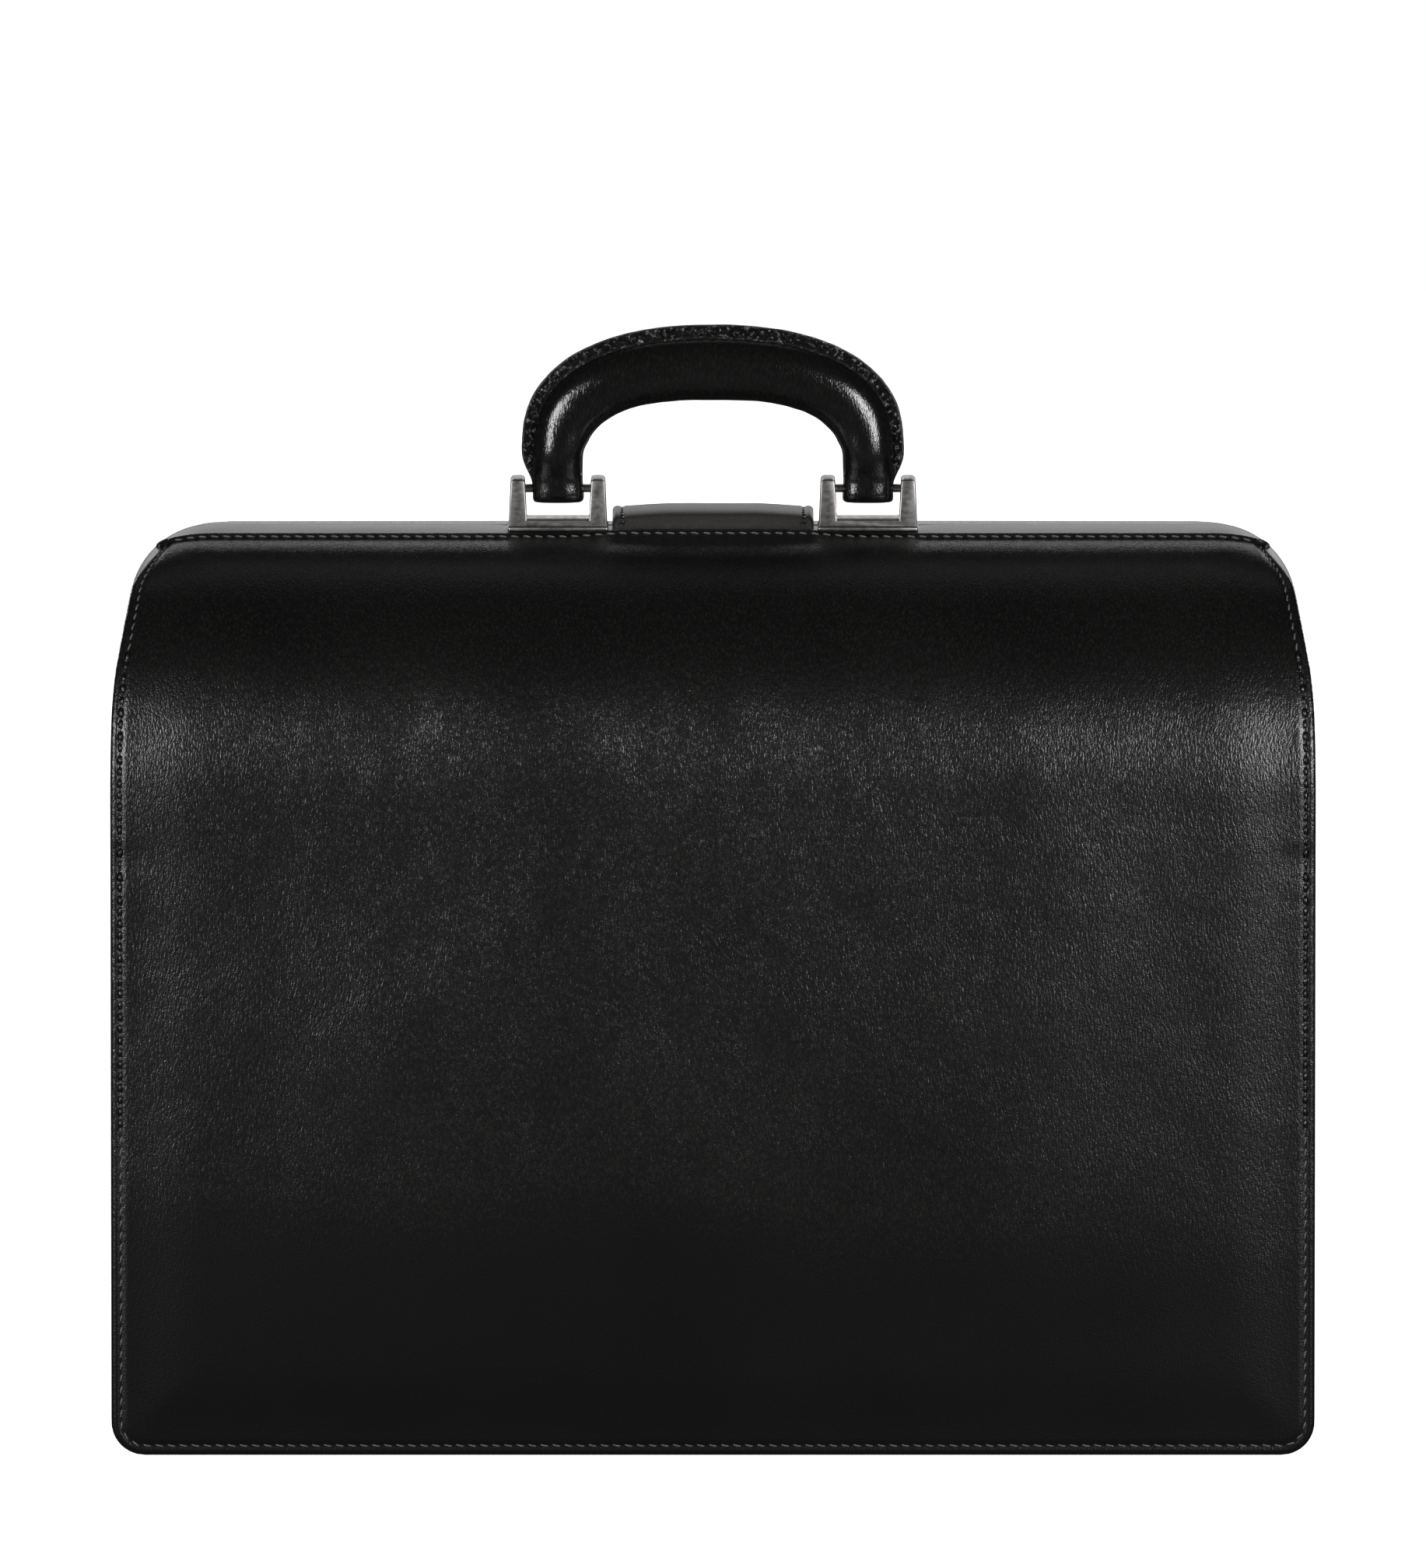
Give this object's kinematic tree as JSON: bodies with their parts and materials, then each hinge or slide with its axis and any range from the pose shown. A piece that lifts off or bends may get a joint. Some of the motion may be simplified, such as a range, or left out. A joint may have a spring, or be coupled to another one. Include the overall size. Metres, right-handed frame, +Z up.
{
  "type": "doctor bag",
  "caption": "Leather doctor bag with a hinged steel frame mouth, a padded swinging top handle on metal brackets and a lock strap over the top",
  "frame": {"origin": "on the floor, at the bottom centre of the bag's overall box; the plane midway between the two panels lies 8 mm behind it, at y = -0.008", "axes": "X along the bag's length, +Y out of the lock side, -Y out of the back, +Z up"},
  "size_m": [0.43, 0.196, 0.3966],
  "materials": {
    "black_leather": "smooth, softly glossy",
    "frame_leather": "smooth, satin",
    "satin_nickel": "satin nickel",
    "frame_steel": "rolled strip",
    "fibre_board": "matt pressed board",
    "lining_cloth": "plain cotton",
    "core_felt": "dense felt"
  },
  "bodies": {
    "bag_body": {"back_panel_lower": "black_leather", "front_panel_lower": "black_leather", "left_gusset": "black_leather", "right_gusset": "black_leather", "base_gusset": "black_leather", "base_board": "fibre_board", "back_stiffener": "fibre_board", "front_stiffener": "fibre_board", "lining": "lining_cloth", "hinge_pin_left": "frame_steel", "hinge_pin_right": "frame_steel", "lock_catch_plate": "satin_nickel"},
    "back_frame": {"back_frame_bar": "frame_steel", "back_frame_cover": "frame_leather", "back_panel_upper": "black_leather", "back_left_gusset_upper": "black_leather", "back_right_gusset_upper": "black_leather", "bracket_left": "satin_nickel", "bracket_right": "satin_nickel", "backing_plate_left": "frame_steel", "backing_plate_right": "frame_steel", "bracket_rivet_left_outer": "satin_nickel", "bracket_rivet_left_inner": "satin_nickel", "bracket_rivet_right_outer": "satin_nickel", "bracket_rivet_right_inner": "satin_nickel", "handle_pin_left": "satin_nickel", "handle_pin_right": "satin_nickel", "strap_top": "black_leather"},
    "front_frame": {"front_frame_bar": "frame_steel", "front_frame_cover": "frame_leather", "front_panel_upper": "black_leather", "front_left_gusset_upper": "black_leather", "front_right_gusset_upper": "black_leather"},
    "handle": {"handle_grip": "black_leather", "handle_core": "core_felt", "handle_loop_left": "black_leather", "handle_loop_right": "black_leather"},
    "strap_end": {"strap_flap": "black_leather", "lock_case": "satin_nickel", "lock_rivet_left": "satin_nickel", "lock_rivet_right": "satin_nickel"},
    "button": {"lock_button": "satin_nickel"},
    "key_cylinder": {"lock_cylinder": "satin_nickel"}
  },
  "joints": [
    {"name": "frame_open", "type": "hinge", "parent": "bag_body", "child": "front_frame", "pos_m": [0, -0.008, 0.25], "axis": [-1, 0, 0], "range_deg": [0, 45]},
    {"name": "back_tilt", "type": "hinge", "parent": "bag_body", "child": "back_frame", "pos_m": [0, -0.008, 0.25], "axis": [1, 0, 0], "range_deg": [0, 45]},
    {"name": "handle_swing", "type": "hinge", "parent": "back_frame", "child": "handle", "pos_m": [0, -0.0175, 0.3375], "axis": [1, 0, 0], "range_deg": [-85, 95]},
    {"name": "strap_lift", "type": "hinge", "parent": "back_frame", "child": "strap_end", "pos_m": [0, 0.05565, 0.31072], "axis": [1, 0, 0], "range_deg": [0, 70]},
    {"name": "button_slide", "type": "slide", "parent": "strap_end", "child": "button", "axis": [1, 0, 0], "range_m": [0, 0.003]},
    {"name": "key_turn", "type": "hinge", "parent": "strap_end", "child": "key_cylinder", "pos_m": [0, 0.096, 0.199], "axis": [0, 1, 0], "range_deg": [0, 90]}
  ],
  "couplings": [
    {"joint": "back_tilt", "follows": "frame_open", "ratio": 1}
  ]
}
